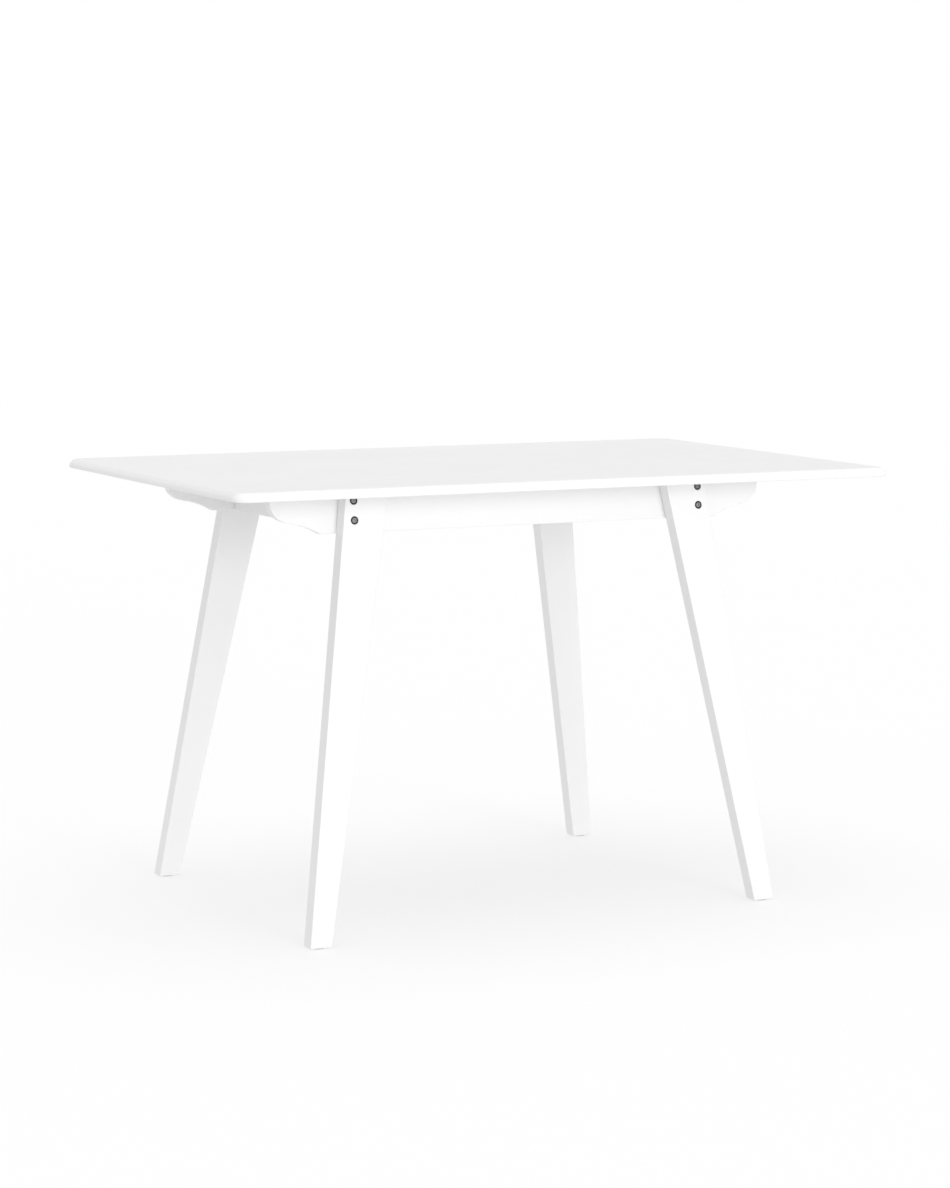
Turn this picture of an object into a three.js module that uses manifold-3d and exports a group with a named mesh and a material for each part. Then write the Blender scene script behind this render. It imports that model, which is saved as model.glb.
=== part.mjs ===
// Dining table: a one-piece top on four flat, tapered legs that splay outwards.
// Units are millimetres. The origin is on the floor, under the centre of the top:
// +X runs along the table, +Y across it towards the back, and +Z up.
// Each board, fastener and glide is a mesh of its own.

import * as THREE from "three";
import { mergeVertices } from "three/addons/utils/BufferGeometryUtils.js";
import Module from "manifold-3d";

const wasm = await Module();
wasm.setup();

// ---------------------------------------------------------------- dimensions

const GAP = 0.3; // clearance between pieces that touch

// Top
const TOP_LENGTH = 1230;
const TOP_DEPTH = 760;
const TOP_HEIGHT = 750; // from the floor to its surface
const TOP_THICKNESS = 15;
const TOP_CORNER_RADIUS = 28; // seen from above
const TOP_CHAMFER = 8; // bevel round its upper edge
const TOP_LOWER_ROUND = 2; // rounding of its lower edge
const TOP_OFFSET_X = 27; // how far the top is set to the right of the middle of the legs
const UNDERSIDE = TOP_HEIGHT - TOP_THICKNESS;

// Lean of the legs and aprons: their broad faces move outwards towards the floor
const LEAN = THREE.MathUtils.degToRad(6.54);

// Legs. Here and below, each x and y is measured from the middle of the four legs.
const LEG_THICKNESS = 27;
const LEG_FACE_Y = 250.5; // outer broad face at the underside of the top
const LEG_OUTER_X = { atTop: 339.8, atFloor: 442.9 };
const LEG_INNER_X = { atTop: 262.9, atFloor: 404.3 };

// Aprons under the long sides, with an ogee scroll cut at each end
const RAIL_THICKNESS = 18;
const RAIL_DEPTH = 71; // from the underside of the top down to the lower edge
const APRON_HALF_LENGTH = 465;
// The ogee as two cubic curves. Each point is its inset from the apron's end, and its drop
// below the underside of the top.
const SCROLL_HOLLOW = [[0, 18], [1, 36], [14, 49], [35, 52]];
const SCROLL_SWELL = [[35, 52], [47, 53.7], [68, 59], [88, RAIL_DEPTH]];

// End rails, across the table between the aprons
const END_RAIL_X = 327; // middle of the rail's thickness, and the line of the leg bolts

// Leg bolts: through the leg and apron into a barrel nut in the end rail
const BOLT_DROPS = { upper: 16, lower: 48 }; // below the underside of the top
const BOLT_HEAD = { radius: 6.5, height: 4, chamfer: 0.6, recess: 0.3 };
const BOLT_SHANK = { radius: 3, length: 75, chamfer: 0.6 };
const BOLT_SOCKET = { acrossFlats: 4, depth: 2.5 };
const BARREL_NUT = { radius: 5, length: 14, fromHead: 64 };

// Steel angle brackets that hold the top, and their screws
const BRACKET = { flange: 30, width: 20, thickness: 2, holeFromCorner: 18 };
const APRON_BRACKET_X = 160;
const SCREW = { headRadius: 4, headHeight: 2.4, radius: 2, length: 12, tip: 4 };

// Glides under the feet
const GLIDE = { radius: 10, height: 2, pinRadius: 1.5, pinLength: 12 };

const ROUND_STEPS = 12; // facets round a fastener
const CURVE_STEPS = 6; // facets along one curve of an outline
const OVERCUT = 1; // how far a cutting tool runs out past a surface

const SIDES = [
  { name: "left", x: -1 },
  { name: "right", x: 1 },
];
const FACES = [
  { name: "front", y: -1 },
  { name: "back", y: 1 },
];

// ----------------------------------------------------------------- materials

const lacquer = () =>
  new THREE.MeshStandardMaterial({ color: 0xf1f1ee, roughness: 0.38, metalness: 0 });
const blackSteel = () =>
  new THREE.MeshStandardMaterial({ color: 0x3a3a3c, roughness: 0.45, metalness: 0.9 });
const zincSteel = () =>
  new THREE.MeshStandardMaterial({ color: 0xb9bcc0, roughness: 0.35, metalness: 0.9 });
const nylon = () =>
  new THREE.MeshStandardMaterial({ color: 0xd8d8d4, roughness: 0.6, metalness: 0 });

// ------------------------------------------------------------ solids and cuts

// A closed solid from a geometry, once its shared vertices are merged.
function toSolid(geometry) {
  const bare = geometry.clone();
  bare.deleteAttribute("normal");
  bare.deleteAttribute("uv");
  const merged = mergeVertices(bare, 1e-4);
  const corners = merged.index.array;
  const triVerts = [];
  for (let i = 0; i < corners.length; i += 3) {
    const [a, b, c] = corners.slice(i, i + 3);
    const degenerate = a === b || b === c || c === a;
    if (!degenerate) triVerts.push(a, b, c);
  }
  const mesh = new wasm.Mesh({
    numProp: 3,
    vertProperties: new Float32Array(merged.attributes.position.array),
    triVerts: new Uint32Array(triVerts),
  });
  return new wasm.Manifold(mesh);
}

// The geometry of a solid.
function toGeometry(solid) {
  const mesh = solid.getMesh();
  const geometry = new THREE.BufferGeometry();
  geometry.setAttribute("position", new THREE.BufferAttribute(mesh.vertProperties, mesh.numProp));
  geometry.setIndex(new THREE.BufferAttribute(mesh.triVerts, 1));
  geometry.computeVertexNormals();
  return geometry;
}

// The geometry with each tool cut out of it.
function cut(geometry, tools) {
  const cutOne = (solid, tool) => solid.subtract(toSolid(tool));
  return toGeometry(tools.reduce(cutOne, toSolid(geometry)));
}

// A solid turned about the local Y axis. The profile runs [radius, height] from bottom to top.
function turned(profile) {
  const points = profile.map(([radius, height]) => new THREE.Vector2(radius, height));
  return new THREE.LatheGeometry(points, ROUND_STEPS);
}

// A round cutting tool on the local Y axis, from one height to another.
function drill(radius, low, high) {
  const tool = new THREE.CylinderGeometry(radius, radius, high - low, ROUND_STEPS);
  return tool.translate(0, (low + high) / 2, 0);
}

// The place of a turned piece: its foot at a point, and its local Y axis along a direction.
function placeAlong(point, direction) {
  const turn = new THREE.Quaternion().setFromUnitVectors(new THREE.Vector3(0, 1, 0), direction);
  return new THREE.Matrix4().compose(point, turn, new THREE.Vector3(1, 1, 1));
}

// ------------------------------------------------------------- leaning boards

// How far a leaning face moves outwards from the underside of the top down to height z.
const leanOut = (z) => (UNDERSIDE - z) * Math.tan(LEAN);

// A board's thickness measured level, across the table.
const levelThickness = (thickness) => thickness / Math.cos(LEAN);

// Outer and inner faces of the aprons, at the underside of the top.
const APRON_OUTER_Y = LEG_FACE_Y - levelThickness(LEG_THICKNESS) - GAP;
const APRON_INNER_Y = APRON_OUTER_Y - levelThickness(RAIL_THICKNESS);

// Outward normal of the leaning outer faces on one side of the table.
const outwardNormal = (face) => new THREE.Vector3(0, face.y * Math.cos(LEAN), Math.sin(LEAN));

// A board whose outline is drawn in x and height, and whose outer face leans outwards.
function leaningBoard(outline, thickness, outerY, face) {
  const depth = levelThickness(thickness);
  const geometry = new THREE.ExtrudeGeometry(outline, {
    depth,
    bevelEnabled: false,
    curveSegments: CURVE_STEPS,
  });
  geometry.rotateX(Math.PI / 2); // the outline stands up and the depth runs towards -Y
  geometry.translate(0, face.y > 0 ? outerY : depth - outerY, 0);
  const shear = -face.y * Math.tan(LEAN);
  geometry.applyMatrix4(new THREE.Matrix4().makeShear(0, 0, 0, 0, 0, shear));
  geometry.translate(0, face.y * UNDERSIDE * Math.tan(LEAN), 0);
  return geometry;
}

// ------------------------------------------------------------------ leg bolts

// Where the underside of a bolt head sits: on its axis, sunk in the leg's outer face.
function boltPlace(side, face, level) {
  const z = UNDERSIDE - BOLT_DROPS[level];
  const onFace = new THREE.Vector3(side.x * END_RAIL_X, face.y * (LEG_FACE_Y + leanOut(z)), z);
  const outward = outwardNormal(face);
  const seat = onFace.addScaledVector(outward, -(BOLT_HEAD.height + BOLT_HEAD.recess));
  return placeAlong(seat, outward);
}

function boltGeometry() {
  const { radius, height, chamfer } = BOLT_HEAD;
  const body = turned([
    [0, -BOLT_SHANK.length],
    [BOLT_SHANK.radius - BOLT_SHANK.chamfer, -BOLT_SHANK.length],
    [BOLT_SHANK.radius, BOLT_SHANK.chamfer - BOLT_SHANK.length],
    [BOLT_SHANK.radius, 0],
    [radius, 0],
    [radius, height - chamfer],
    [radius - chamfer, height],
    [0, height],
  ]);
  const acrossCorners = BOLT_SOCKET.acrossFlats / Math.sqrt(3);
  const socketHeight = BOLT_SOCKET.depth + OVERCUT;
  const socket = new THREE.CylinderGeometry(acrossCorners, acrossCorners, socketHeight, 6);
  socket.translate(0, height + OVERCUT - socketHeight / 2, 0);
  return cut(body, [socket]);
}

// The tools that make one bolt's hole and the counterbore for its head.
function boltHole(side, face, level) {
  const shaft = drill(BOLT_SHANK.radius + GAP, -BOLT_SHANK.length - GAP, OVERCUT);
  const counterbore = drill(BOLT_HEAD.radius + GAP, -GAP, BOLT_HEAD.height + OVERCUT);
  const place = boltPlace(side, face, level);
  return [shaft, counterbore].map((tool) => tool.applyMatrix4(place));
}

// Both bolt holes of one corner of the table.
const cornerHoles = (side, face) =>
  Object.keys(BOLT_DROPS).flatMap((level) => boltHole(side, face, level));

// ----------------------------------------------------------------- barrel nuts

// A point on a bolt's axis, at the middle of its barrel nut.
function nutCentre(side, face, level) {
  return new THREE.Vector3(0, -BARREL_NUT.fromHead, 0).applyMatrix4(boltPlace(side, face, level));
}

// A nut lying along X, with its cross hole for the bolt, at its place in the end rail.
function nutGeometry(side, face, level) {
  const body = drill(BARREL_NUT.radius, -BARREL_NUT.length / 2, BARREL_NUT.length / 2);
  body.rotateZ(Math.PI / 2);
  const crossHole = drill(BOLT_SHANK.radius + GAP, -BARREL_NUT.length, BARREL_NUT.length);
  const alongBolt = new THREE.Matrix4().extractRotation(boltPlace(side, face, level));
  crossHole.applyMatrix4(alongBolt);
  return cut(body, [crossHole]);
}

// The blind hole for a nut, drilled from the end rail's inner face.
function nutHole(side, face, level) {
  const blindEnd = BARREL_NUT.length / 2 + GAP;
  const openEnd = RAIL_THICKNESS / 2 + OVERCUT;
  const tool = drill(BARREL_NUT.radius + GAP, -blindEnd, openEnd);
  tool.rotateZ(side.x * (Math.PI / 2)); // the open end faces the middle of the table
  const { x, y, z } = nutCentre(side, face, level);
  return tool.translate(x, y, z);
}

// ------------------------------------------------------------ brackets and screws

// Each bracket sits in the corner between a rail's inner face and the underside of the top.
// Its frame has +Y pointing away from the rail and +X along it.
const BRACKETS = [
  ...FACES.flatMap((face) =>
    SIDES.map((side) => ({
      name: `${face.name}_${side.name}_bracket`,
      rail: `${face.name}_apron`,
      lean: LEAN,
      x: side.x * APRON_BRACKET_X,
      y: face.y * APRON_INNER_Y,
      turn: face.y > 0 ? Math.PI : 0,
    })),
  ),
  ...SIDES.map((side) => ({
    name: `${side.name}_end_bracket`,
    rail: `${side.name}_end_rail`,
    lean: 0,
    x: side.x * (END_RAIL_X - RAIL_THICKNESS / 2),
    y: 0,
    turn: side.x * (Math.PI / 2),
  })),
];

function bracketPlace(bracket) {
  const turn = new THREE.Matrix4().makeRotationZ(bracket.turn);
  return turn.setPosition(bracket.x, bracket.y, UNDERSIDE);
}

// Directions in a bracket's frame: down the rail's face, and out of that face.
const downRail = (lean) => new THREE.Vector3(0, -Math.sin(lean), -Math.cos(lean));
const outOfRail = (lean) => new THREE.Vector3(0, Math.cos(lean), -Math.sin(lean));

// The corner of the bracket's section that lies a distance from both the rail and the top.
function sectionCorner(distance, lean) {
  const across = (distance * (1 - Math.sin(lean))) / Math.cos(lean);
  return new THREE.Vector3(0, across, -distance);
}

// The two screws of a bracket: the point under each head's middle, and the way the head faces.
function screwSeats(bracket) {
  const { thickness, holeFromCorner } = BRACKET;
  const corner = sectionCorner(0, bracket.lean);
  const underHead = thickness + 2 * GAP;
  const down = new THREE.Vector3(0, 0, -1);
  const inTop = corner.clone().add(new THREE.Vector3(0, holeFromCorner, -underHead));
  const out = outOfRail(bracket.lean);
  const inRail = corner.clone().addScaledVector(downRail(bracket.lean), holeFromCorner);
  inRail.addScaledVector(out, underHead);
  return {
    top: placeAlong(inTop, down),
    rail: placeAlong(inRail, out),
  };
}

function bracketGeometry(bracket) {
  const { flange, width, thickness } = BRACKET;
  const outer = sectionCorner(GAP, bracket.lean);
  const inner = sectionCorner(GAP + thickness, bracket.lean);
  const topEnd = outer.clone().add(new THREE.Vector3(0, flange, 0));
  const topEndUnder = topEnd.clone().add(new THREE.Vector3(0, 0, -thickness));
  const railEnd = outer.clone().addScaledVector(downRail(bracket.lean), flange);
  const railEndOut = railEnd.clone().addScaledVector(outOfRail(bracket.lean), thickness);
  const section = [outer, topEnd, topEndUnder, inner, railEndOut, railEnd];
  const outline = new THREE.Shape(section.map(({ y, z }) => new THREE.Vector2(y, z)));
  const body = new THREE.ExtrudeGeometry(outline, { depth: width, bevelEnabled: false });
  body.rotateX(Math.PI / 2);
  body.rotateZ(Math.PI / 2); // the section lies across X and the width along it
  body.translate(-width / 2, 0, 0);
  const holes = Object.values(screwSeats(bracket)).map((seat) =>
    drill(SCREW.radius + GAP, -2 * thickness, thickness).applyMatrix4(seat),
  );
  return cut(body, holes);
}

function screwGeometry() {
  const { headRadius, headHeight, radius, length, tip } = SCREW;
  return toGeometry(
    toSolid(
      turned([
        [0, -length],
        [radius, tip - length],
        [radius, 0],
        [headRadius, 0],
        [headRadius, headHeight / 2],
        [headRadius / 2, headHeight],
        [0, headHeight],
      ]),
    ),
  );
}

// The pilot holes that one board needs for bracket screws of one kind, "top" or "rail".
function pilotHoles(brackets, kind) {
  return brackets.map((bracket) => {
    const place = bracketPlace(bracket).multiply(screwSeats(bracket)[kind]);
    return drill(SCREW.radius + GAP, -SCREW.length - GAP, 0).applyMatrix4(place);
  });
}

// --------------------------------------------------------------------- boards

// A rectangle with round corners, centred on the origin.
function roundedRectangle(length, depth, radius) {
  const x = length / 2 - radius;
  const y = depth / 2 - radius;
  const quarter = Math.PI / 2;
  const outline = new THREE.Shape();
  outline.absarc(x, y, radius, 0, quarter);
  outline.absarc(-x, y, radius, quarter, 2 * quarter);
  outline.absarc(-x, -y, radius, 2 * quarter, 3 * quarter);
  outline.absarc(x, -y, radius, 3 * quarter, 4 * quarter);
  return outline;
}

// The top's outline as a slab between two heights, with its edges bevelled inwards, set
// off to the right of the middle of the legs.
function edgedSlab(low, high, bevel, bevelSegments) {
  const outline = roundedRectangle(TOP_LENGTH, TOP_DEPTH, TOP_CORNER_RADIUS);
  const geometry = new THREE.ExtrudeGeometry(outline, {
    depth: high - low - 2 * bevel,
    bevelThickness: bevel,
    bevelSize: bevel,
    bevelOffset: -bevel,
    bevelSegments,
    curveSegments: CURVE_STEPS,
  });
  return geometry.translate(TOP_OFFSET_X, 0, low + bevel);
}

// The top: chamfered above and rounded below, where two slabs with different edges agree.
function tabletopGeometry() {
  const chamfered = edgedSlab(UNDERSIDE - 2 * TOP_CHAMFER, TOP_HEIGHT, TOP_CHAMFER, 1);
  const rounded = edgedSlab(UNDERSIDE, TOP_HEIGHT + 2 * TOP_LOWER_ROUND, TOP_LOWER_ROUND, 4);
  const board = toSolid(chamfered).intersect(toSolid(rounded));
  return cut(toGeometry(board), pilotHoles(BRACKETS, "top"));
}

// A tapered leg, cut level at the top and at the floor.
function legGeometry(side, face) {
  const top = UNDERSIDE - GAP;
  const bottom = GLIDE.height + GAP;
  const xAt = (edge, z) => side.x * THREE.MathUtils.lerp(edge.atFloor, edge.atTop, z / UNDERSIDE);
  const outline = new THREE.Shape([
    new THREE.Vector2(xAt(LEG_INNER_X, top), top),
    new THREE.Vector2(xAt(LEG_OUTER_X, top), top),
    new THREE.Vector2(xAt(LEG_OUTER_X, bottom), bottom),
    new THREE.Vector2(xAt(LEG_INNER_X, bottom), bottom),
  ]);
  const board = leaningBoard(outline, LEG_THICKNESS, LEG_FACE_Y, face);
  const pinHole = drill(GLIDE.pinRadius + GAP, 0, GLIDE.height + GLIDE.pinLength + GAP);
  pinHole.applyMatrix4(glidePlace(side, face));
  return cut(board, [...cornerHoles(side, face), pinHole]);
}

// Points along one curve of the scroll.
function scrollCurve(points) {
  const controls = points.map(([inset, drop]) => new THREE.Vector2(inset, drop));
  return new THREE.CubicBezierCurve(...controls).getPoints(CURVE_STEPS);
}

// An apron, with the ogee scroll at each end drawn once and mirrored.
function apronGeometry(face) {
  const top = UNDERSIDE - GAP;
  const scroll = [...scrollCurve(SCROLL_HOLLOW), ...scrollCurve(SCROLL_SWELL).slice(1)];
  const endPoint = (x, point) =>
    new THREE.Vector2(x * (APRON_HALF_LENGTH - point.x), UNDERSIDE - point.y);
  const outline = new THREE.Shape([
    new THREE.Vector2(-APRON_HALF_LENGTH, top),
    new THREE.Vector2(APRON_HALF_LENGTH, top),
    ...scroll.map((point) => endPoint(1, point)),
    ...scroll.reverse().map((point) => endPoint(-1, point)),
  ]);
  const board = leaningBoard(outline, RAIL_THICKNESS, APRON_OUTER_Y, face);
  const ownBrackets = BRACKETS.filter((bracket) => bracket.rail === `${face.name}_apron`);
  const holes = SIDES.flatMap((side) => cornerHoles(side, face));
  return cut(board, [...holes, ...pilotHoles(ownBrackets, "rail")]);
}

// An end rail, with its ends cut to meet the leaning aprons.
function endRailGeometry(side) {
  const top = UNDERSIDE - GAP;
  const bottom = UNDERSIDE - RAIL_DEPTH;
  const endAt = (z) => APRON_INNER_Y - GAP + leanOut(z);
  const outline = new THREE.Shape([
    new THREE.Vector2(-endAt(top), top),
    new THREE.Vector2(endAt(top), top),
    new THREE.Vector2(endAt(bottom), bottom),
    new THREE.Vector2(-endAt(bottom), bottom),
  ]);
  const board = new THREE.ExtrudeGeometry(outline, { depth: RAIL_THICKNESS, bevelEnabled: false });
  board.rotateX(Math.PI / 2);
  board.rotateZ(Math.PI / 2); // the outline lies across X and the thickness along it
  board.translate(side.x * END_RAIL_X - RAIL_THICKNESS / 2, 0, 0);
  const ownBrackets = BRACKETS.filter((bracket) => bracket.rail === `${side.name}_end_rail`);
  const boltHoles = FACES.flatMap((face) => cornerHoles(side, face));
  const nutHoles = FACES.flatMap((face) =>
    Object.keys(BOLT_DROPS).map((level) => nutHole(side, face, level)),
  );
  return cut(board, [...boltHoles, ...nutHoles, ...pilotHoles(ownBrackets, "rail")]);
}

// --------------------------------------------------------------------- glides

// The place of a glide: on the floor under the middle of the foot, its pin pointing up.
function glidePlace(side, face) {
  const x = (LEG_INNER_X.atFloor + LEG_OUTER_X.atFloor) / 2;
  const y = LEG_FACE_Y + leanOut(0) - levelThickness(LEG_THICKNESS) / 2;
  const point = new THREE.Vector3(side.x * x, face.y * y, 0);
  return placeAlong(point, new THREE.Vector3(0, 0, 1));
}

function glideGeometry() {
  const { radius, height, pinRadius, pinLength } = GLIDE;
  return toGeometry(
    toSolid(
      turned([
        [0, 0],
        [radius - height / 4, 0],
        [radius, height / 4],
        [radius, height],
        [pinRadius, height],
        [pinRadius, height + pinLength - pinRadius],
        [0, height + pinLength],
      ]),
    ),
  );
}

// ------------------------------------------------------------------- assembly

// The pieces are drawn about the middle of the legs, and moved together so that the middle
// of the top is at the origin.
const pieces = new THREE.Group();
pieces.applyMatrix4(new THREE.Matrix4().makeTranslation(-TOP_OFFSET_X, 0, 0));

const table = new THREE.Group();
table.add(pieces);

// A named piece in a group, set at its place there.
function addPiece(group, name, geometry, material, place = new THREE.Matrix4()) {
  const mesh = new THREE.Mesh(geometry, material);
  mesh.name = name;
  mesh.applyMatrix4(place);
  group.add(mesh);
}

addPiece(pieces, "tabletop", tabletopGeometry(), lacquer());

for (const face of FACES) {
  addPiece(pieces, `${face.name}_apron`, apronGeometry(face), lacquer());
}

for (const side of SIDES) {
  addPiece(pieces, `${side.name}_end_rail`, endRailGeometry(side), lacquer());
}

for (const face of FACES) {
  for (const side of SIDES) {
    const corner = `${face.name}_${side.name}`;
    addPiece(pieces, `${corner}_leg`, legGeometry(side, face), lacquer());
    addPiece(pieces, `${corner}_glide`, glideGeometry(), nylon(), glidePlace(side, face));
    for (const level of Object.keys(BOLT_DROPS)) {
      const bolt = boltPlace(side, face, level);
      addPiece(pieces, `${corner}_${level}_bolt`, boltGeometry(), blackSteel(), bolt);
      const { x, y, z } = nutCentre(side, face, level);
      const nut = new THREE.Matrix4().makeTranslation(x, y, z);
      addPiece(pieces, `${corner}_${level}_nut`, nutGeometry(side, face, level), zincSteel(), nut);
    }
  }
}

for (const bracket of BRACKETS) {
  const corner = new THREE.Group();
  corner.applyMatrix4(bracketPlace(bracket));
  addPiece(corner, bracket.name, bracketGeometry(bracket), zincSteel());
  for (const [kind, seat] of Object.entries(screwSeats(bracket))) {
    addPiece(corner, `${bracket.name}_${kind}_screw`, screwGeometry(), zincSteel(), seat);
  }
  pieces.add(corner);
}

export default table;
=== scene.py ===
"""White dining table with splayed legs: the finished pieces, their materials and a plain studio."""

import math

import bmesh
import bpy
from mathutils import Matrix, Vector


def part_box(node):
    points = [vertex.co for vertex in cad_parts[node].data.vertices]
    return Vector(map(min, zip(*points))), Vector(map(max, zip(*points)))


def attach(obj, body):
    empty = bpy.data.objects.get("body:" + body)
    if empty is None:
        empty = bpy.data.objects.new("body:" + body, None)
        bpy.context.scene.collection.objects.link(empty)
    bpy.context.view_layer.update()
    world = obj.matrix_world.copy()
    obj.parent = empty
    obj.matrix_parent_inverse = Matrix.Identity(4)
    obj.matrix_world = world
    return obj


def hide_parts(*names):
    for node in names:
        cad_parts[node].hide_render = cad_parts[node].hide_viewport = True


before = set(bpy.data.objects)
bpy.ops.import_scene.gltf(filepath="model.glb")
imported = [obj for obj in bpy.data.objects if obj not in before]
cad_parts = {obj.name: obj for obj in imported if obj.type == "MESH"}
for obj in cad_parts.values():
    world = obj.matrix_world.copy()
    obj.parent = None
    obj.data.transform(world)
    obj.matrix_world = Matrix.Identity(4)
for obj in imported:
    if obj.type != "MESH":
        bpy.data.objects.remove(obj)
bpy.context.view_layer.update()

# ------------------------------------------------------------------ dimensions
# Metres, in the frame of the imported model. Places are read from the frame, and
# only sizes that the frame doesn't state directly are given here.

MM = 0.001
LEAN = math.radians(6.54)  # how far the legs' and aprons' broad faces lean outwards
CLEARANCE = 0.3 * MM  # left round the fasteners in their holes

SIDES = {"left": -1, "right": 1}
FACES = {"front": -1, "back": 1}
LEVELS = ("upper", "lower")
CORNERS = [(face, side) for face in FACES for side in SIDES]

ROUND_STEPS = 48  # facets round a turned piece
SOFT_STEPS = 4  # facets across a softened edge
EDGE_RADIUS = 1.4 * MM  # softened edge of a lacquered board
END_RADIUS = 2.0 * MM  # softened corner in a board's outline

TOP_CORNER_RADIUS = 28 * MM
TOP_CORNER_STEPS = 14
TOP_CHAMFER = 8 * MM
TOP_LOWER_ROUND = 2 * MM
TOP_BREAK_ROUND = 9 * MM  # softening where the chamfer meets the flat faces
TOP_EDGE_STEPS = 6  # facets in each rounding of the top's edge

# The ogee at each end of an apron: two cubic curves, each point its inset from the
# apron's end and its drop below the underside of the top.
SCROLL_HOLLOW = [(0, 18), (1, 36), (14, 49), (35, 52)]
SCROLL_SWELL = [(35, 52), (47, 53.7), (68, 59), (88, 71)]
SCROLL_STEPS = 12

BOLT_HEAD_RADIUS = 6.5 * MM
BOLT_HEAD_HEIGHT = 4 * MM
BOLT_SHANK_RADIUS = 3 * MM
BOLT_SOCKET_APOTHEM = 2 * MM
BOLT_SOCKET_DEPTH = 2.5 * MM
PAINTED_HIGHLIGHT_RING = (3.4 * MM, 4.6 * MM)  # the painted highlight round a bolt's socket: full out to the first radius, gone by the second
SCREW_RADIUS = 2 * MM
SCREW_HEAD_RADIUS = 4 * MM
SCREW_HEAD_HEIGHT = 2.4 * MM
SCREW_POINT_LENGTH = 4 * MM
# The pan head's outline, as parts of its radius and of its height below the top.
PAN_HEAD = [(0.95, 1), (1, 0.88), (1, 0.55), (0.95, 0.3), (0.82, 0.12), (0.62, 0)]
# The cross recess: its reach and half width as parts of the head's radius, and its depth.
CROSS_RECESS = [(0.52, 0.14, 0), (0.48, 0.11, 0.1), (0.2, 0.09, 0.75)]
NUT_RADIUS = 5 * MM
GLIDE_PIN_RADIUS = 1.5 * MM
GLIDE_DISC_HEIGHT = 2 * MM
BRACKET_FLANGE = 30 * MM
BRACKET_THICKNESS = 2 * MM
BRACKET_BEND_RADIUS = 3 * MM  # of the outside of its bend
BRACKET_END_RADIUS = 5 * MM  # of the corners at the end of each flange
SHEET_EDGE = 0.3 * MM  # softened edge of the bracket's sheet
PAST = 5 * MM  # how far a cutter runs past an open face

# Studio. Light levels are parts of full white.
SKY_LEVEL = 0.81
FRONT_LIGHT = {"towards": (0.06, -0.99, 0.105), "level": 0.37, "spread_degrees": 24}
TOP_LIGHT = {"towards": (0, 0, 1), "level": 0.18, "spread_degrees": 60}
FLOOR_ALBEDO = 0.5
FLOOR_GLOW = 0.48
FLOOR_FADE = (4, 20)  # metres from the table
BACKDROP_LEVEL = 1.0
BACKDROP_RADIUS = 40

CAMERA_PLACE = (-2.670, -5.104, 1.221)
CAMERA_TURN = {"yaw": -27.63, "pitch": -6.94, "roll": 0.31}  # degrees
CAMERA_SENSOR = 36  # millimetres, as is its lens
CAMERA_LENS = 100.45


# ------------------------------------------------------------- reading the frame


def node_points(node):
    """Every vertex of a CAD node."""
    return [vertex.co.copy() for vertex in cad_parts[node].data.vertices]


def end_centre(node, direction):
    """The middle of the node's farthest points along a direction."""
    points = node_points(node)
    farthest = max(point.dot(direction) for point in points)
    ends = [point for point in points if point.dot(direction) > farthest - 0.01 * MM]
    return sum(ends, Vector()) / len(ends)


TOP_LOW, TOP_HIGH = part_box("tabletop")
UNDERSIDE = TOP_LOW.z


def lean_out(z):
    """How far a leaning face has moved outwards from the underside of the top down to z."""
    return (UNDERSIDE - z) * math.tan(LEAN)


def outward(face):
    """The normal of the leaning outer faces on one side of the table."""
    return Vector((0, FACES[face] * math.cos(LEAN), math.sin(LEAN)))


# ------------------------------------------------------------------ mesh helpers


def arc_corner(before, corner, after, radius, steps):
    """Points of the arc that rounds a corner of a polyline."""
    to_before = (before - corner).normalized()
    to_after = (after - corner).normalized()
    half = to_before.angle(to_after) / 2
    reach = radius / math.tan(half)
    centre = corner + (to_before + to_after).normalized() * (radius / math.sin(half))
    start = corner + to_before * reach - centre
    turn = start.angle_signed(corner + to_after * reach - centre)
    points = []
    for step in range(steps + 1):
        rotation = Matrix.Rotation(-turn * step / steps, 2)
        points.append(centre + rotation @ start)
    return points


def rounded_polygon(corners, radius, steps):
    """A closed outline with every corner rounded."""
    points = []
    for i, corner in enumerate(corners):
        before = corners[i - 1]
        after = corners[(i + 1) % len(corners)]
        points += arc_corner(before, corner, after, radius, steps)
    return points


def bezier(controls, steps):
    """Points of a cubic curve, both ends included."""
    a, b, c, d = controls
    points = []
    for i in range(steps + 1):
        t = i / steps
        s = 1 - t
        points.append(a * s**3 + b * 3 * s * s * t + c * 3 * s * t * t + d * t**3)
    return points


def inset_outline(points, distance):
    """A closed anticlockwise outline moved inwards by a distance."""
    moved = []
    for i, point in enumerate(points):
        back = (point - points[i - 1]).normalized()
        ahead = (points[(i + 1) % len(points)] - point).normalized()
        normal = Vector((-back.y, back.x)) + Vector((-ahead.y, ahead.x))
        normal.normalize()
        stretch = normal.dot(Vector((-back.y, back.x)))
        moved.append(point + normal * (distance / stretch))
    return moved


def stack_rings(rings, wear):
    """A closed mesh through rings of points, all of the same length, with each ring's edge wear."""
    bm = bmesh.new()
    edge = bm.verts.layers.float.new("edge_wear")
    rows = []
    for ring, worn in zip(rings, wear):
        row = [bm.verts.new(point) for point in ring]
        for vertex in row:
            vertex[edge] = worn
        rows.append(row)
    count = len(rows[0])
    for low, high in zip(rows, rows[1:]):
        for i in range(count):
            j = (i + 1) % count
            bm.faces.new((low[i], low[j], high[j], high[i]))
    bm.faces.new(reversed(rows[0]))
    bm.faces.new(rows[-1])
    bmesh.ops.recalc_face_normals(bm, faces=bm.faces)
    return bm


def to_object(name, bm):
    """An object in the scene that holds the mesh."""
    mesh = bpy.data.meshes.new(name)
    bm.to_mesh(mesh)
    bm.free()
    piece = bpy.data.objects.new(name, mesh)
    bpy.context.scene.collection.objects.link(piece)
    return piece


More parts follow.
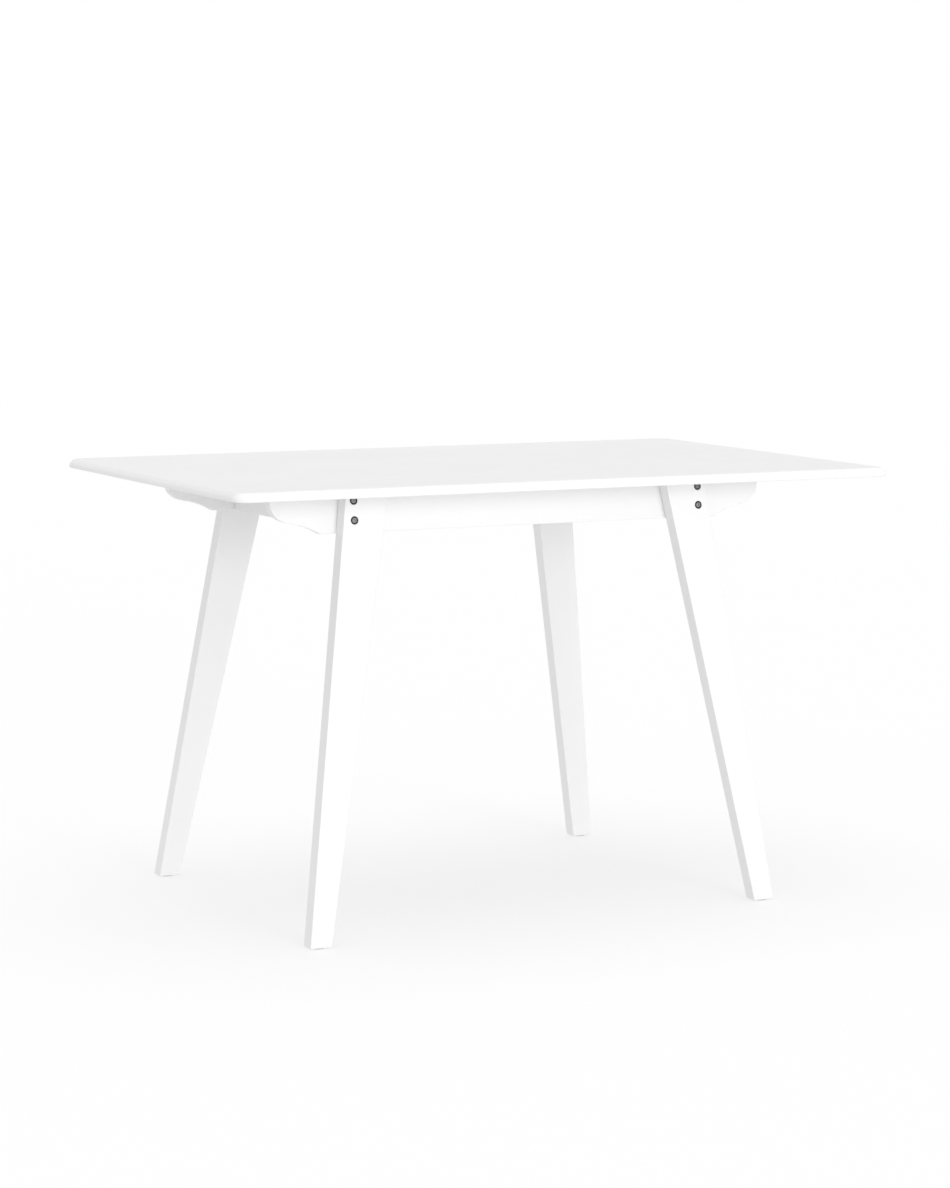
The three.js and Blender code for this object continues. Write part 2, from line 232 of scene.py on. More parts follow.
def apply_modifiers(piece):
    """Replaces the object's mesh with what its modifiers make of it."""
    depsgraph = bpy.context.evaluated_depsgraph_get()
    made = bpy.data.meshes.new_from_object(piece.evaluated_get(depsgraph))
    piece.modifiers.clear()
    old = piece.data
    piece.data = made
    bpy.data.meshes.remove(old)


def cut(piece, tools):
    """Cuts each tool out of the piece and throws the tools away."""
    for tool in tools:
        boolean = piece.modifiers.new("cut", "BOOLEAN")
        boolean.operation = "DIFFERENCE"
        boolean.solver = "EXACT"
        boolean.object = tool
    apply_modifiers(piece)
    for tool in tools:
        bpy.data.objects.remove(tool)


def shade(piece, crease_degrees=35):
    """Smooth shading that stays crisp at real edges and flat on flat faces."""
    piece.data.shade_smooth()
    piece.data.set_sharp_from_angle(angle=math.radians(crease_degrees))
    weighted = piece.modifiers.new("face_weighted_normals", "WEIGHTED_NORMAL")
    weighted.keep_sharp = True
    weighted.weight = 100


def finish_piece(piece, material, node):
    """Gives a piece its material and makes it stand for a CAD node."""
    piece.data.materials.clear()
    piece.data.materials.append(material)
    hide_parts(node)
    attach(piece, "root")


# ------------------------------------------------------------------ turned pieces


def circle(radius, height):
    """A round ring about the local Z axis."""
    step = 2 * math.pi / ROUND_STEPS
    return [
        Vector((radius * math.cos(i * step), radius * math.sin(i * step), height))
        for i in range(ROUND_STEPS)
    ]


def hexagon(apothem, height):
    """A six-sided ring about the local Z axis, with as many points as a round one."""
    step = 2 * math.pi / ROUND_STEPS
    sixth = math.pi / 3
    points = []
    for i in range(ROUND_STEPS):
        angle = i * step
        radius = apothem / math.cos(angle % sixth - sixth / 2)
        points.append(Vector((radius * math.cos(angle), radius * math.sin(angle), height)))
    return points


def turned(name, rings):
    """An object through rings stacked along the local Z axis."""
    return to_object(name, stack_rings(rings, [0] * len(rings)))


def place_along(piece, point, direction):
    """Puts the piece's origin at a point with its local Z axis along a direction."""
    turn = direction.to_track_quat("Z", "Y").to_matrix().to_4x4()
    piece.matrix_world = Matrix.Translation(point) @ turn
    bpy.context.view_layer.update()


# --------------------------------------------------------------------- materials


def new_material(name):
    """A material with its node tree, its Principled shader and its object coordinates."""
    material = bpy.data.materials.new(name)
    material.use_nodes = True
    tree = material.node_tree
    shader = tree.nodes["Principled BSDF"]
    place = tree.nodes.new("ShaderNodeTexCoord").outputs["Object"]
    return material, tree, shader, place


def stretched(tree, place, turn, scale):
    """Coordinates turned about the three axes and then scaled."""
    mapping = tree.nodes.new("ShaderNodeMapping")
    mapping.inputs["Rotation"].default_value = turn
    mapping.inputs["Scale"].default_value = scale
    tree.links.new(place, mapping.inputs["Vector"])
    return mapping.outputs["Vector"]


def noise(tree, place, scale, detail=3.0, roughness=0.5):
    """A noise pattern; scale is in features to the metre."""
    node = tree.nodes.new("ShaderNodeTexNoise")
    node.inputs["Scale"].default_value = scale
    node.inputs["Detail"].default_value = detail
    node.inputs["Roughness"].default_value = roughness
    tree.links.new(place, node.inputs["Vector"])
    return node.outputs["Fac"]


def remap(tree, value, low, high, from_low=0.3, from_high=0.7):
    """A pattern spread over a new range."""
    node = tree.nodes.new("ShaderNodeMapRange")
    node.inputs["From Min"].default_value = from_low
    node.inputs["From Max"].default_value = from_high
    node.inputs["To Min"].default_value = low
    node.inputs["To Max"].default_value = high
    tree.links.new(value, node.inputs["Value"])
    return node.outputs["Result"]


def blend_colours(tree, factor, first, second):
    """A mix of two colours, each a colour or another node's output."""
    node = tree.nodes.new("ShaderNodeMix")
    node.data_type = "RGBA"
    tree.links.new(factor, node.inputs["Factor"])
    for socket, colour in ((node.inputs[6], first), (node.inputs[7], second)):
        if isinstance(colour, bpy.types.NodeSocket):
            tree.links.new(colour, socket)
        else:
            socket.default_value = (*colour, 1)
    return node.outputs[2]


def multiply(tree, first, second):
    """The product of two patterns."""
    node = tree.nodes.new("ShaderNodeMath")
    node.operation = "MULTIPLY"
    tree.links.new(first, node.inputs[0])
    tree.links.new(second, node.inputs[1])
    return node.outputs[0]


def add_bump(tree, shader, height, depth, below=None):
    """Bumps of a depth in metres, on top of other bumps if there are any."""
    node = tree.nodes.new("ShaderNodeBump")
    node.inputs["Distance"].default_value = depth
    tree.links.new(height, node.inputs["Height"])
    if below is not None:
        tree.links.new(below, node.inputs["Normal"])
    tree.links.new(node.outputs["Normal"], shader.inputs["Normal"])
    return node.outputs["Normal"]


def lacquer(name, turn=(0, 0, 0), grain_depth=0.02 * MM):
    """Satin white lacquer. The wood's grain, along local X once turned, just shows through it."""
    material, tree, shader, place = new_material(name)
    clean = (0.880, 0.880, 0.880)
    shaded = (0.864, 0.863, 0.862)
    worn = (0.830, 0.822, 0.806)

    cloudy = remap(tree, noise(tree, place, 7, detail=4), 0, 1)
    film = blend_colours(tree, cloudy, clean, shaded)
    mark = tree.nodes.new("ShaderNodeAttribute")
    mark.attribute_name = "edge_wear"
    patches = remap(tree, noise(tree, place, 60, detail=5), 0, 0.3, 0.54, 0.78)
    wear = multiply(tree, mark.outputs["Fac"], patches)
    colour = blend_colours(tree, wear, film, worn)
    tree.links.new(colour, shader.inputs["Base Color"])

    # Patchy satin gloss, in the roughness only.
    gloss_and_painted_highlight = remap(tree, noise(tree, place, 28, detail=5), 0.34, 0.44)
    tree.links.new(gloss_and_painted_highlight, shader.inputs["Roughness"])
    shader.inputs["IOR"].default_value = 1.5

    fibres = noise(tree, stretched(tree, place, turn, (9, 320, 320)), 1, detail=5, roughness=0.6)
    grain = add_bump(tree, shader, fibres, grain_depth)
    peel = noise(tree, place, 620, detail=2)
    add_bump(tree, shader, peel, 0.012 * MM, grain)
    return material


def near_axis(tree, place, full, none):
    """A pattern that is 1 up to a distance from the local origin, and falls to 0 farther out."""
    distance = tree.nodes.new("ShaderNodeVectorMath")
    distance.operation = "LENGTH"
    tree.links.new(place, distance.inputs[0])
    return remap(tree, distance.outputs["Value"], 1, 0, full, none)


def steel(name, light, dark, roughness, gloss_and_painted_highlight=None):
    """Plated steel, mottled a little and finely brushed, with two more, lighter colours painted in a
    ring round the local origin as a highlight when they are given.
    """
    material, tree, shader, place = new_material(name)
    mottled = remap(tree, noise(tree, place, 260, detail=6, roughness=0.65), 0, 1)
    colour = blend_colours(tree, mottled, light, dark)
    # Painted highlight: a lighter ring round the bolt's socket stands in for light off the dished head.
    if gloss_and_painted_highlight is not None:
        ring = near_axis(tree, place, *PAINTED_HIGHLIGHT_RING)
        colour = blend_colours(tree, ring, colour, blend_colours(tree, mottled, *gloss_and_painted_highlight))
    tree.links.new(colour, shader.inputs["Base Color"])
    shader.inputs["Metallic"].default_value = 1.0
    worn = remap(tree, noise(tree, place, 700, detail=4), *roughness)
    tree.links.new(worn, shader.inputs["Roughness"])
    scratches = noise(tree, stretched(tree, place, (0, 0, 0), (1, 1, 9)), 900, detail=3)
    add_bump(tree, shader, scratches, 0.01 * MM)
    return material


def nylon(name):
    """Moulded nylon with a fine matt texture."""
    material, tree, shader, place = new_material(name)
    cloudy = remap(tree, noise(tree, place, 120, detail=4), 0, 1)
    colour = blend_colours(tree, cloudy, (0.62, 0.61, 0.58), (0.56, 0.55, 0.52))
    tree.links.new(colour, shader.inputs["Base Color"])
    spread = remap(tree, noise(tree, place, 900, detail=3), 0.5, 0.64)
    tree.links.new(spread, shader.inputs["Roughness"])
    add_bump(tree, shader, noise(tree, place, 2200, detail=2), 0.02 * MM)
    return material


GRAIN_UP = math.radians(90)  # turns the grain from along X to along Z
LEG_TILT = math.radians(9.4)  # middle line of a leg from the vertical
LACQUER_TOP = lacquer("lacquer_top", grain_depth=0.008 * MM)
LACQUER_APRON = lacquer("lacquer_apron")
LACQUER_END_RAIL = lacquer("lacquer_end_rail", turn=(0, 0, GRAIN_UP))
LACQUER_LEG = {
    side: lacquer(f"lacquer_{side}_leg", turn=(0, GRAIN_UP - x * LEG_TILT, 0))
    for side, x in SIDES.items()
}
BLACK_STEEL = steel(
    "black_zinc_steel",
    light=(0.034, 0.034, 0.035),
    dark=(0.020, 0.020, 0.021),
    roughness=(0.34, 0.50),
    # lighter colours for the painted highlight round the socket
    gloss_and_painted_highlight=((0.300, 0.300, 0.302), (0.200, 0.200, 0.202)),
)
BRIGHT_ZINC = steel(
    "bright_zinc_steel",
    light=(0.66, 0.67, 0.69),
    dark=(0.52, 0.53, 0.54),
    roughness=(0.23, 0.40),
)
NYLON = nylon("glide_nylon")


# ------------------------------------------------------------------------- boards


def board_rings(outline, thickness, to_world, edge_radius=EDGE_RADIUS):
    """Rings of a board with softened edges, and their wear. to_world puts a point at a depth."""
    quarter = [math.pi / 2 * i / SOFT_STEPS for i in range(SOFT_STEPS + 1)]
    near = [(edge_radius * (1 - math.sin(a)), edge_radius * (1 - math.cos(a))) for a in quarter]
    far = [(inset, thickness - depth) for inset, depth in reversed(near)]
    wear = [math.sin(2 * a) for a in quarter]
    rings = []
    for inset, depth in near + far:
        ring = inset_outline(outline, inset)
        rings.append([to_world(point, depth) for point in ring])
    return rings, wear + wear[::-1]


def leaning_board(name, outline, thickness, outer_y, face):
    """A board drawn in x and height. Its outer face leans out from outer_y at the top's underside."""
    sign = FACES[face]

    def to_world(point, depth):
        y = outer_y + lean_out(point.y) - depth / math.cos(LEAN)
        return Vector((point.x, sign * y, point.y))

    rings, wear = board_rings(outline, thickness, to_world)
    return to_object(name, stack_rings(rings, wear))


def outer_y_of(node, face):
    """Where a leaning board's outer face meets the underside of the top."""
    low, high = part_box(node)
    outermost = high.y if FACES[face] > 0 else -low.y
    return outermost - lean_out(low.z)


def thickness_of(node, face):
    """A leaning board's thickness, square to its broad faces."""
    low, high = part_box(node)
    level = (high.y - low.y) - (high.z - low.z) * math.tan(LEAN)
    return level * math.cos(LEAN)


def bolt_names(face, side):
    return [f"{face}_{side}_{level}_bolt" for level in LEVELS]


def bolt_tool(node, face):
    """The cutter for one bolt: the hole, its counterbore and a softened mouth."""
    out = outward(face)
    head_top = end_centre(node, out)
    tip = end_centre(node, -out)
    length = (head_top - tip).length
    mouth = 0.5 * MM
    recess = BOLT_HEAD_RADIUS + CLEARANCE
    shaft = BOLT_SHANK_RADIUS + CLEARANCE
    tool = turned("tool", [
        circle(shaft, -length - CLEARANCE),
        circle(shaft, -BOLT_HEAD_HEIGHT - CLEARANCE),
        circle(recess, -BOLT_HEAD_HEIGHT - CLEARANCE),
        circle(recess, CLEARANCE - mouth),
        circle(recess + mouth + PAST, CLEARANCE + PAST),
    ])
    place_along(tool, head_top, out)
    return tool


def screw_tool(node, direction):
    """The cutter for a screw's pilot hole; the head faces along the direction."""
    head_top = end_centre(node, direction)
    tip = end_centre(node, -direction)
    length = (head_top - tip).length
    radius = SCREW_RADIUS + CLEARANCE
    tool = turned("tool", [circle(radius, -length - CLEARANCE), circle(radius, CLEARANCE)])
    place_along(tool, head_top, direction)
    return tool


def make_leg(face, side):
    node = f"{face}_{side}_leg"
    points = node_points(node)
    low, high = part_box(node)
    ends = []
    for z in (low.z, high.z):
        level = [point.x for point in points if abs(point.z - z) < 0.01 * MM]
        ends.append((min(level), max(level)))
    (foot_left, foot_right), (head_left, head_right) = ends
    outline = rounded_polygon([
        Vector((foot_left, low.z)),
        Vector((foot_right, low.z)),
        Vector((head_right, high.z)),
        Vector((head_left, high.z)),
    ], END_RADIUS, SOFT_STEPS)
    outer = outer_y_of(node, face)
    leg = leaning_board(f"{node}_board", outline, thickness_of(node, face), outer, face)
    tools = [bolt_tool(bolt, face) for bolt in bolt_names(face, side)]
    tools.append(glide_tool(f"{face}_{side}_glide"))
    cut(leg, tools)
    shade(leg)
    finish_piece(leg, LACQUER_LEG[side], node)


def scroll_end(end_x, inward):
    """The lower outline of one end of an apron, from its tip in to the lower edge."""
    points = []
    for curve in (SCROLL_HOLLOW, SCROLL_SWELL):
        controls = [Vector(point) * MM for point in curve]
        for point in bezier(controls, SCROLL_STEPS)[1:]:
            points.append(Vector((end_x + inward * point.x, UNDERSIDE - point.y)))
    return points


def make_apron(face):
    node = f"{face}_apron"
    low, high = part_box(node)
    tip_z = UNDERSIDE - SCROLL_HOLLOW[0][1] * MM
    left_tip = Vector((low.x, tip_z))
    right_tip = Vector((high.x, tip_z))
    upper_left = Vector((low.x, high.z))
    upper_right = Vector((high.x, high.z))
    outline = [
        *arc_corner(right_tip, upper_right, upper_left, END_RADIUS, SOFT_STEPS),
        *arc_corner(upper_right, upper_left, left_tip, END_RADIUS, SOFT_STEPS),
        left_tip,
        *scroll_end(low.x, 1),
        *reversed(scroll_end(high.x, -1)),
        right_tip,
    ]
    outer = outer_y_of(node, face)
    apron = leaning_board(f"{node}_board", outline, thickness_of(node, face), outer, face)
    tools = [bolt_tool(bolt, face) for side in SIDES for bolt in bolt_names(face, side)]
    rail_normal = -outward(face)
    tools += [screw_tool(f"{face}_{side}_bracket_rail_screw", rail_normal) for side in SIDES]
    cut(apron, tools)
    shade(apron)
    finish_piece(apron, LACQUER_APRON, node)


def make_end_rail(side):
    node = f"{side}_end_rail"
    low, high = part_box(node)
    half_foot = high.y
    half_head = high.y - (high.z - low.z) * math.tan(LEAN)
    outline = rounded_polygon([
        Vector((-half_foot, low.z)),
        Vector((half_foot, low.z)),
        Vector((half_head, high.z)),
        Vector((-half_head, high.z)),
    ], END_RADIUS, SOFT_STEPS)

    def to_world(point, depth):
        return Vector((low.x + depth, point.x, point.y))

    rings, wear = board_rings(outline, high.x - low.x, to_world)
    rail = to_object(f"{node}_board", stack_rings(rings, wear))
    tools = [bolt_tool(bolt, face) for face in FACES for bolt in bolt_names(face, side)]
    inward = Vector((-SIDES[side], 0, 0))
    tools.append(screw_tool(f"{side}_end_bracket_rail_screw", inward))
    for face in FACES:
        tools += [nut_tool(f"{face}_{side}_{level}_nut", inward) for level in LEVELS]
    cut(rail, tools)
    shade(rail)
    finish_piece(rail, LACQUER_END_RAIL, node)


def softened_path(points, radii, steps):
    """A polyline whose inner corners are rounded, each to its own radius."""
    path = [points[0]]
    for before, corner, after, radius in zip(points, points[1:], points[2:], radii):
        path += arc_corner(before, corner, after, radius, steps)
    return path + [points[-1]]


def make_tabletop():
    low, high = TOP_LOW, TOP_HIGH
    corners = [
        Vector((low.x, low.y)),
        Vector((high.x, low.y)),
        Vector((high.x, high.y)),
        Vector((low.x, high.y)),
    ]
    outline = rounded_polygon(corners, TOP_CORNER_RADIUS, TOP_CORNER_STEPS)
    flat = 6 * MM  # of flat face between the chamfer and the first ring
    shoulder = high.z - TOP_CHAMFER
    edge = softened_path([
        Vector((TOP_LOWER_ROUND + flat, low.z)),
        Vector((0, low.z)),
        Vector((0, shoulder)),
        Vector((TOP_CHAMFER, high.z)),
        Vector((TOP_CHAMFER + flat, high.z)),
    ], [TOP_LOWER_ROUND, TOP_BREAK_ROUND, TOP_BREAK_ROUND], TOP_EDGE_STEPS)
    rings = []
    for inset, z in edge:
        ring = inset_outline(outline, inset)
        rings.append([Vector((point.x, point.y, z)) for point in ring])
    wear = [0.0] + [1.0] * (len(rings) - 2) + [0.0]
    top = to_object("tabletop_board", stack_rings(rings, wear))
    down = Vector((0, 0, -1))
    brackets = [f"{face}_{side}_bracket" for face, side in CORNERS]
    brackets += [f"{side}_end_bracket" for side in SIDES]
    cut(top, [screw_tool(f"{bracket}_top_screw", down) for bracket in brackets])
    shade(top)
    finish_piece(top, LACQUER_TOP, "tabletop")


# --------------------------------------------------------------- bolts and nuts


def bolt_mesh(length):
    """A socket-head bolt along local Z, with the top of its head at the origin."""
    rim = 0.7 * MM
    rim_bulge = 0.3 * rim
    lip = 0.25 * MM
    mouth_radius = 1.3 * BOLT_SOCKET_APOTHEM
    drill_radius = 0.8 * BOLT_SOCKET_APOTHEM
    drill_point = 0.9 * MM
    tip_chamfer = 0.6 * MM
    return turned("bolt", [
        circle(BOLT_SHANK_RADIUS - tip_chamfer, -length),
        circle(BOLT_SHANK_RADIUS, tip_chamfer - length),
        circle(BOLT_SHANK_RADIUS, -BOLT_HEAD_HEIGHT),
        circle(BOLT_HEAD_RADIUS - rim / 2, -BOLT_HEAD_HEIGHT),
        circle(BOLT_HEAD_RADIUS, rim / 2 - BOLT_HEAD_HEIGHT),
        circle(BOLT_HEAD_RADIUS, -rim),
        circle(BOLT_HEAD_RADIUS - rim_bulge, -rim_bulge),
        circle(BOLT_HEAD_RADIUS - rim, 0),
        circle(mouth_radius, 0),
        hexagon(BOLT_SOCKET_APOTHEM + lip, 0),
        hexagon(BOLT_SOCKET_APOTHEM, -lip),
        hexagon(BOLT_SOCKET_APOTHEM, -BOLT_SOCKET_DEPTH),
        circle(drill_radius, -BOLT_SOCKET_DEPTH),
        circle(drill_radius / 8, -BOLT_SOCKET_DEPTH - drill_point),
    ])


def make_bolt(face, side, level):
    node = f"{face}_{side}_{level}_bolt"
    out = outward(face)
    head_top = end_centre(node, out)
    tip = end_centre(node, -out)
    bolt = bolt_mesh((head_top - tip).length)
    bolt.name = f"{node}_steel"
    place_along(bolt, head_top, out)
    shade(bolt)
    finish_piece(bolt, BLACK_STEEL, node)


def nut_tool(node, inward):
    """The cutter for a barrel nut's blind hole, open on the end rail's inner face."""
    low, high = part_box(node)
    centre = (low + high) / 2
    half = (high.x - low.x) / 2
    radius = NUT_RADIUS + CLEARANCE
    tool = turned("tool", [circle(radius, -half - CLEARANCE), circle(radius, half + PAST)])
    place_along(tool, centre, inward)
    return tool


def make_nut(face, side, level):
    """A barrel nut: a turned bar with a cross hole for the bolt and a slot in its open end."""
    node = f"{face}_{side}_{level}_nut"
    low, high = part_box(node)
    centre = (low + high) / 2
    half = (high.x - low.x) / 2
    chamfer = 0.5 * MM
    nut = turned(f"{node}_steel", [
        circle(NUT_RADIUS - chamfer, -half),
        circle(NUT_RADIUS, chamfer - half),
        circle(NUT_RADIUS, half - chamfer),
        circle(NUT_RADIUS - chamfer, half),
    ])
    place_along(nut, centre, Vector((-SIDES[side], 0, 0)))
    hole = turned("tool", [
        circle(BOLT_SHANK_RADIUS + CLEARANCE, -2 * NUT_RADIUS),
        circle(BOLT_SHANK_RADIUS + CLEARANCE, 2 * NUT_RADIUS),
    ])
    place_along(hole, centre, outward(face))
    cut(nut, [hole, slot_tool(centre, side, half)])
    shade(nut)
    finish_piece(nut, BRIGHT_ZINC, node)


def slot_tool(centre, side, half):
    """The cutter for the screwdriver slot across a nut's open end."""
    width = 1.2 * MM
    depth = 1.5 * MM
    bm = bmesh.new()
    bmesh.ops.create_cube(bm, size=1)
    bmesh.ops.scale(bm, vec=(2 * depth, 4 * NUT_RADIUS, width), verts=bm.verts)
    tool = to_object("tool", bm)
    tool.matrix_world = Matrix.Translation(centre - Vector((SIDES[side] * half, 0, 0)))
    bpy.context.view_layer.update()
    return tool


# ------------------------------------------------------------------------- glides


def glide_tool(node):
    """The cutter for a glide's pin."""
    low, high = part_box(node)
    centre = (low + high) / 2
    radius = GLIDE_PIN_RADIUS + CLEARANCE
    tool = turned("tool", [circle(radius, 0), circle(radius, high.z + CLEARANCE)])
    place_along(tool, Vector((centre.x, centre.y, 0)), Vector((0, 0, 1)))
    return tool


def make_glide(face, side):
    """A nylon glide: a disc with a softened rim and a pin into the foot."""
    node = f"{face}_{side}_glide"
    low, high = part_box(node)
    centre = (low + high) / 2
    radius = (high.x - low.x) / 2
    foot_round = 0.5 * MM
    foot_bulge = 0.3 * foot_round
    top_round = 0.2 * MM
    glide = turned(f"{node}_disc", [
        circle(radius - foot_round, 0),
        circle(radius - foot_bulge, foot_bulge),
        circle(radius, foot_round),
        circle(radius, GLIDE_DISC_HEIGHT - top_round),
        circle(radius - top_round, GLIDE_DISC_HEIGHT),
        circle(GLIDE_PIN_RADIUS, GLIDE_DISC_HEIGHT),
        circle(GLIDE_PIN_RADIUS, high.z - GLIDE_PIN_RADIUS),
        circle(0.2 * GLIDE_PIN_RADIUS, high.z),
    ])
    place_along(glide, Vector((centre.x, centre.y, 0)), Vector((0, 0, 1)))
    shade(glide)
    finish_piece(glide, NYLON, node)


# ------------------------------------------------------------ brackets and screws


def cross(arm, half_width, height):
    """A ring in the shape of a cross about the local Z axis, with as many points as a round one."""
    step = 2 * math.pi / ROUND_STEPS
    quarter = math.pi / 2
    points = []
    for i in range(ROUND_STEPS):
        angle = i * step
        off_axis = abs((angle + quarter / 2) % quarter - quarter / 2)
        radius = arm / math.cos(off_axis)
        if off_axis > 0:
            radius = min(radius, half_width / math.sin(off_axis))
        points.append(Vector((radius * math.cos(angle), radius * math.sin(angle), height)))
    return points


def screw_mesh(name, length):
    """A pan-head screw along local Z, with a cross recess and the top of its head at the origin."""
    rings = [
        circle(0.1 * SCREW_RADIUS, -length),
        circle(SCREW_RADIUS, SCREW_POINT_LENGTH - length),
        circle(SCREW_RADIUS, -SCREW_HEAD_HEIGHT),
    ]
    for across, below in PAN_HEAD:
        rings.append(circle(across * SCREW_HEAD_RADIUS, -below * SCREW_HEAD_HEIGHT))
    for reach, half_width, below in CROSS_RECESS:
        arm = reach * SCREW_HEAD_RADIUS
        rings.append(cross(arm, half_width * SCREW_HEAD_RADIUS, -below * SCREW_HEAD_HEIGHT))
    return turned(name, rings)


def make_screw(node, out):
    """A bracket screw whose head faces along a direction."""
    head_top = end_centre(node, out)
    tip = end_centre(node, -out)
    screw = screw_mesh(f"{node}_steel", (head_top - tip).length)
    place_along(screw, head_top, out)
    shade(screw)
    finish_piece(screw, BRIGHT_ZINC, node)


def sheet_ring(point, into, half_width, inset, soft):
    """A ring round a strip of sheet: point is on its outer face, and into points through the sheet."""
    wide = half_width - inset
    near = inset
    far = BRACKET_THICKNESS - inset
    section = [
        (soft - wide, near),
        (wide - soft, near),
        (wide, near + soft),
        (wide, far - soft),
        (wide - soft, far),
        (soft - wide, far),
        (-wide, far - soft),
        (-wide, near + soft),
    ]
    return [
        Vector((x, point.x + into.x * depth, point.y + into.y * depth))
        for x, depth in section
    ]


def flange_rings(corner_to_end, into, half_width):
    """Rings from the rounded end of a bracket's flange in towards the bracket's corner."""
    end = corner_to_end * BRACKET_FLANGE
    body = half_width - BRACKET_END_RADIUS
    rings = [sheet_ring(end, into, body, SHEET_EDGE, SHEET_EDGE / 2)]
    for i in range(1, SOFT_STEPS * 2 + 1):
        turn = math.pi / 2 * i / (SOFT_STEPS * 2)
        back = BRACKET_END_RADIUS * (1 - math.cos(turn))
        wide = body + BRACKET_END_RADIUS * math.sin(turn)
        rings.append(sheet_ring(end - corner_to_end * back, into, wide, 0, SHEET_EDGE))
    return rings


def make_bracket(node, away, head_out):
    """A bent steel angle. away points level from the rail, and its rail screw's head faces head_out."""
    low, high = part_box(node)
    lean = math.asin(-head_out.z)
    along_top = Vector((1, 0))
    down_rail = Vector((-math.sin(lean), -math.cos(lean)))
    into_top = Vector((0, -1))
    into_rail = Vector((math.cos(lean), -math.sin(lean)))
    level = Vector((0, 0, 1)).cross(away)
    half_width = abs((high - low).dot(level)) / 2

    bend = arc_corner(along_top, Vector((0, 0)), down_rail, BRACKET_BEND_RADIUS, SOFT_STEPS * 2)
    middle = bend[0] + into_top * BRACKET_BEND_RADIUS
    rings = flange_rings(along_top, into_top, half_width)
    for point in bend:
        rings.append(sheet_ring(point, (middle - point).normalized(), half_width, 0, SHEET_EDGE))
    rings += reversed(flange_rings(down_rail, into_rail, half_width))

    bracket = to_object(f"{node}_steel", stack_rings(rings, [0] * len(rings)))
    corner = end_centre(node, away) - away * BRACKET_FLANGE
    corner.z = high.z
    turn = math.atan2(-away.x, away.y)
    bracket.matrix_world = Matrix.Translation(corner) @ Matrix.Rotation(turn, 4, "Z")
    bpy.context.view_layer.update()
    screws = {
        f"{node}_top_screw": Vector((0, 0, -1)),
        f"{node}_rail_screw": head_out,
    }
    cut(bracket, [screw_tool(screw, out) for screw, out in screws.items()])
    shade(bracket)
    finish_piece(bracket, BRIGHT_ZINC, node)
    for screw, out in screws.items():
        make_screw(screw, out)


make_tabletop()
for each_face in FACES:
    make_apron(each_face)
for each_side in SIDES:
    make_end_rail(each_side)
for each_face, each_side in CORNERS:
    make_leg(each_face, each_side)
    make_glide(each_face, each_side)
    for each_level in LEVELS:
        make_bolt(each_face, each_side, each_level)
        make_nut(each_face, each_side, each_level)

for each_face, each_side in CORNERS:
    to_middle = Vector((0, -FACES[each_face], 0))
    make_bracket(f"{each_face}_{each_side}_bracket", to_middle, -outward(each_face))
for each_side, x_sign in SIDES.items():
    to_middle = Vector((-x_sign, 0, 0))
    make_bracket(f"{each_side}_end_bracket", to_middle, to_middle)


# ------------------------------------------------------------------------- studio


def make_floor():
    """A pale floor that fades out far away. From below it can be seen through, and it lights nothing."""
    bm = bmesh.new()
    bmesh.ops.create_circle(bm, cap_ends=True, radius=FLOOR_FADE[1], segments=96)
    floor = to_object("studio_floor", bm)
    material, tree, shader, place = new_material("studio_floor")
    shader.inputs["Base Color"].default_value = (FLOOR_ALBEDO, FLOOR_ALBEDO, FLOOR_ALBEDO, 1)
    shader.inputs["Roughness"].default_value = 1.0
    shader.inputs["Specular IOR Level"].default_value = 0.0
    shader.inputs["Emission Color"].default_value = (1, 1, 1, 1)
    shader.inputs["Emission Strength"].default_value = FLOOR_GLOW

    distance = tree.nodes.new("ShaderNodeVectorMath")
    distance.operation = "LENGTH"
    tree.links.new(place, distance.inputs[0])
    faded = remap(tree, distance.outputs["Value"], 0, 1, *FLOOR_FADE)
    below = tree.nodes.new("ShaderNodeNewGeometry").outputs["Backfacing"]
    hidden = tree.nodes.new("ShaderNodeMath")
    hidden.operation = "MAXIMUM"
    tree.links.new(faded, hidden.inputs[0])
    tree.links.new(below, hidden.inputs[1])
    clear = tree.nodes.new("ShaderNodeBsdfTransparent")
    mix = tree.nodes.new("ShaderNodeMixShader")
    tree.links.new(hidden.outputs[0], mix.inputs["Fac"])
    tree.links.new(shader.outputs[0], mix.inputs[1])
    tree.links.new(clear.outputs[0], mix.inputs[2])
    tree.links.new(mix.outputs[0], tree.nodes["Material Output"].inputs["Surface"])
    floor.data.materials.append(material)
    floor.visible_diffuse = False


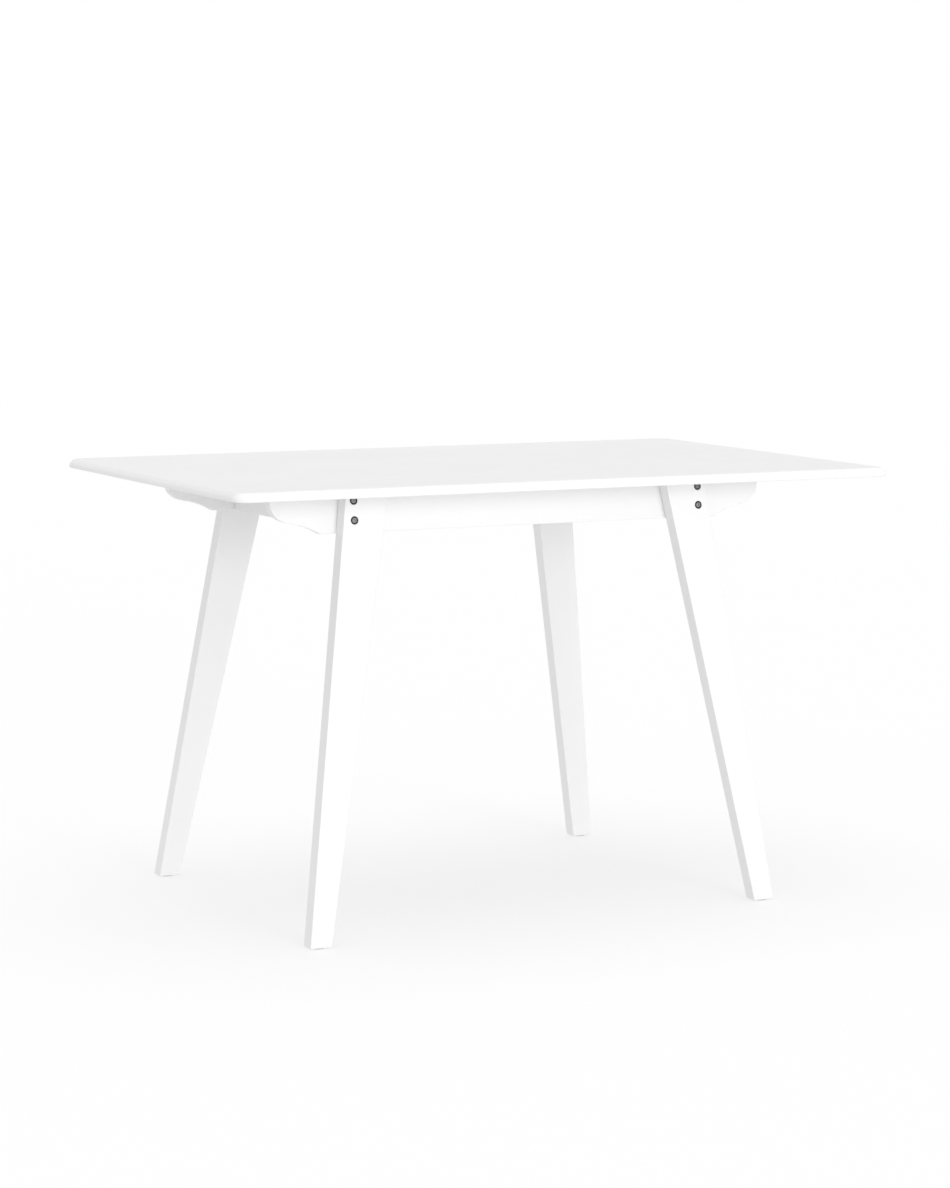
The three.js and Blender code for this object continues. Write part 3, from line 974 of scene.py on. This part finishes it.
def make_backdrop():
    """An even, pale shell far round the table. It's only looked at, and gives no light."""
    bm = bmesh.new()
    bmesh.ops.create_icosphere(bm, subdivisions=3, radius=BACKDROP_RADIUS)
    backdrop = to_object("studio_backdrop", bm)
    material = bpy.data.materials.new("studio_backdrop")
    material.use_nodes = True
    tree = material.node_tree
    glow = tree.nodes.new("ShaderNodeEmission")
    glow.inputs["Strength"].default_value = BACKDROP_LEVEL
    tree.links.new(glow.outputs[0], tree.nodes["Material Output"].inputs["Surface"])
    backdrop.data.materials.append(material)
    backdrop.visible_diffuse = False
    backdrop.visible_glossy = False
    backdrop.visible_shadow = False


def make_world():
    """Even light from every side."""
    world = bpy.data.worlds.new("studio")
    world.use_nodes = True
    background = world.node_tree.nodes["Background"]
    background.inputs["Color"].default_value = (1, 1, 1, 1)
    background.inputs["Strength"].default_value = SKY_LEVEL
    bpy.context.scene.world = world
    bpy.context.scene.view_settings.view_transform = "Standard"


def make_soft_light(name, towards, level, spread_degrees):
    """A broad, distant lamp. A white surface that faces it is lit to the given level."""
    data = bpy.data.lights.new(name, "SUN")
    data.energy = level * math.pi
    data.angle = math.radians(spread_degrees)
    lamp = bpy.data.objects.new(name, data)
    lamp.matrix_world = Vector(towards).to_track_quat("Z", "Y").to_matrix().to_4x4()
    bpy.context.scene.collection.objects.link(lamp)


def make_camera():
    """The camera, at the photograph's viewing angle."""
    data = bpy.data.cameras.new("camera")
    data.sensor_width = CAMERA_SENSOR
    data.lens = CAMERA_LENS
    camera = bpy.data.objects.new("camera", data)
    yaw, pitch, roll = (math.radians(CAMERA_TURN[turn]) for turn in ("yaw", "pitch", "roll"))
    camera.matrix_world = (
        Matrix.Translation(CAMERA_PLACE)
        @ Matrix.Rotation(yaw, 4, "Z")
        @ Matrix.Rotation(math.radians(90) + pitch, 4, "X")
        @ Matrix.Rotation(roll, 4, "Z")
    )
    bpy.context.scene.collection.objects.link(camera)
    bpy.context.scene.camera = camera


make_floor()
make_backdrop()
make_world()
make_soft_light("front_light", **FRONT_LIGHT)
make_soft_light("top_light", **TOP_LIGHT)
make_camera()
